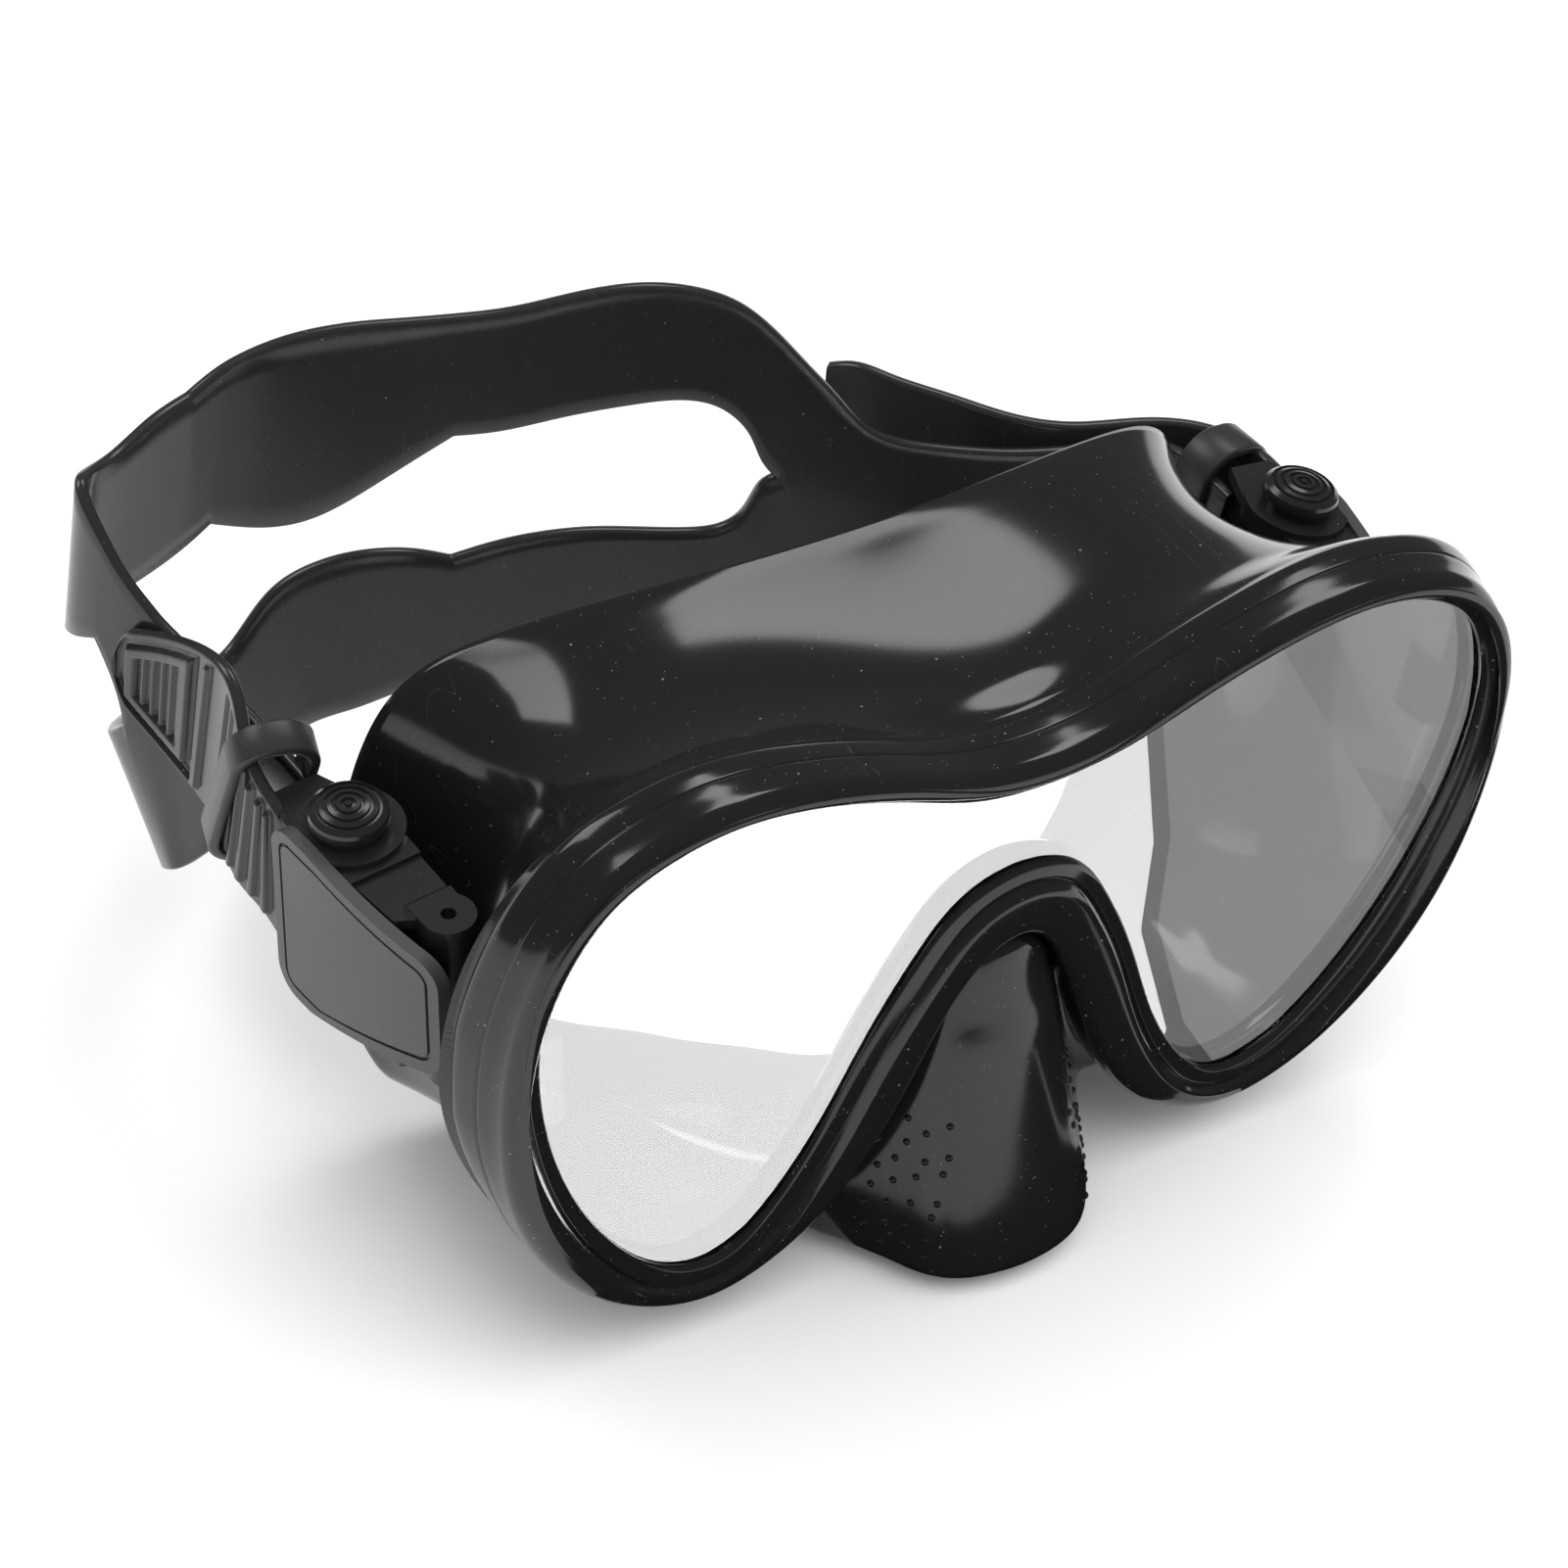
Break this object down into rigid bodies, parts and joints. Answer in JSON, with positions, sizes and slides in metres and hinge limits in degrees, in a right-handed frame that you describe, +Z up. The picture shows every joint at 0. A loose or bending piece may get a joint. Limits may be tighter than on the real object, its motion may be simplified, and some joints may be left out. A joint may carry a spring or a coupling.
{
  "type": "diving mask",
  "caption": "Frameless single-lens diving mask with a silicone skirt, nose pocket, split head strap and swivelling quick-release buckles.",
  "frame": {"origin": "middle of the face opening, 50 mm behind the lens plane, on the mirror plane", "axes": "+Y points from the lens to the wearer's face, +Z up, +X to the wearer's left"},
  "size_m": [0.1702, 0.1318, 0.0931],
  "materials": {
    "skirt_silicone": "gloss",
    "strap_silicone": "satin",
    "tempered_glass": "clear",
    "keeper_rubber": "satin",
    "cover_plastic": "satin",
    "buckle_plastic": "gloss",
    "button_plastic": "gloss",
    "acetal_plastic": "satin",
    "stainless_steel": "satin"
  },
  "bodies": {
    "mask": {"skirt": "skirt_silicone", "lens": "tempered_glass", "head_strap": "strap_silicone", "buckle_anchor_left": "buckle_plastic", "buckle_anchor_right": "buckle_plastic", "hinge_pin_left": "stainless_steel", "hinge_pin_right": "stainless_steel"},
    "buckle_left": {"buckle_base_left": "buckle_plastic", "buckle_cover_left": "cover_plastic", "upper_button_spring_left": "keeper_rubber", "lower_button_spring_left": "keeper_rubber", "pawl_pin_left": "stainless_steel", "pawl_spring_left": "stainless_steel", "roller_axle_left": "stainless_steel"},
    "release_upper_left": {"upper_button_left": "button_plastic"},
    "release_lower_left": {"lower_button_left": "button_plastic"},
    "strap_pawl_left": {"pawl_left": "acetal_plastic"},
    "roller_left": {"strap_roller_left": "acetal_plastic"},
    "keeper_left": {"keeper_loop_left": "keeper_rubber"},
    "buckle_right": {"buckle_base_right": "buckle_plastic", "buckle_cover_right": "cover_plastic", "upper_button_spring_right": "keeper_rubber", "lower_button_spring_right": "keeper_rubber", "pawl_pin_right": "stainless_steel", "pawl_spring_right": "stainless_steel", "roller_axle_right": "stainless_steel"},
    "release_upper_right": {"upper_button_right": "button_plastic"},
    "release_lower_right": {"lower_button_right": "button_plastic"},
    "strap_pawl_right": {"pawl_right": "acetal_plastic"},
    "roller_right": {"strap_roller_right": "acetal_plastic"},
    "keeper_right": {"keeper_loop_right": "keeper_rubber"}
  },
  "joints": [
    {"name": "buckle_swivel_left", "type": "hinge", "parent": "mask", "child": "buckle_left", "pos_m": [0.0725, -0.026, 0.0025], "axis": [0.1392, 0, 0.9903], "range_deg": [-20, 0], "deforming": ["head_strap"]},
    {"name": "upper_button_press_left", "type": "slide", "parent": "buckle_left", "child": "release_upper_left", "axis": [-0.1392, 0, -0.9903], "range_m": [0, 0.0012], "stiffness_N_per_m": 600, "springref_m": -0.0015, "deforming": ["upper_button_spring_left"]},
    {"name": "lower_button_press_left", "type": "slide", "parent": "buckle_left", "child": "release_lower_left", "axis": [0.1392, 0, 0.9903], "range_m": [0, 0.0012], "stiffness_N_per_m": 600, "springref_m": -0.0015, "deforming": ["lower_button_spring_left"]},
    {"name": "pawl_lift_left", "type": "hinge", "parent": "buckle_left", "child": "strap_pawl_left", "pos_m": [0.07646, -0.0104, 0.00194], "axis": [0.1392, 0, 0.9903], "range_deg": [-12.2, 0], "deforming": ["pawl_spring_left"]},
    {"name": "roller_spin_left", "type": "hinge", "parent": "buckle_left", "child": "roller_left", "pos_m": [0.07626, 0.002, 0.00197], "axis": [0.1392, 0, 0.9903], "continuous": true},
    {"name": "keeper_slide_left", "type": "slide", "parent": "buckle_left", "child": "keeper_left", "axis": [0, 1, 0], "range_m": [-0.001, 0.004]},
    {"name": "buckle_swivel_right", "type": "hinge", "parent": "mask", "child": "buckle_right", "pos_m": [-0.0725, -0.026, 0.0025], "axis": [-0.1392, 0, 0.9903], "range_deg": [0, 20], "deforming": ["head_strap"]},
    {"name": "upper_button_press_right", "type": "slide", "parent": "buckle_right", "child": "release_upper_right", "axis": [0.1392, 0, -0.9903], "range_m": [0, 0.0012], "stiffness_N_per_m": 600, "springref_m": -0.0015, "deforming": ["upper_button_spring_right"]},
    {"name": "lower_button_press_right", "type": "slide", "parent": "buckle_right", "child": "release_lower_right", "axis": [-0.1392, 0, 0.9903], "range_m": [0, 0.0012], "stiffness_N_per_m": 600, "springref_m": -0.0015, "deforming": ["lower_button_spring_right"]},
    {"name": "pawl_lift_right", "type": "hinge", "parent": "buckle_right", "child": "strap_pawl_right", "pos_m": [-0.07646, -0.0104, 0.00194], "axis": [-0.1392, 0, 0.9903], "range_deg": [0, 12.2], "deforming": ["pawl_spring_right"]},
    {"name": "roller_spin_right", "type": "hinge", "parent": "buckle_right", "child": "roller_right", "pos_m": [-0.07626, 0.002, 0.00197], "axis": [-0.1392, 0, 0.9903], "continuous": true},
    {"name": "keeper_slide_right", "type": "slide", "parent": "buckle_right", "child": "keeper_right", "axis": [0, 1, 0], "range_m": [-0.001, 0.005]}
  ],
  "couplings": [
    {"joint": "pawl_lift_left", "follows": "upper_button_press_left", "rad_per_m": -174.53},
    {"joint": "pawl_lift_right", "follows": "upper_button_press_right", "rad_per_m": 174.53}
  ]
}
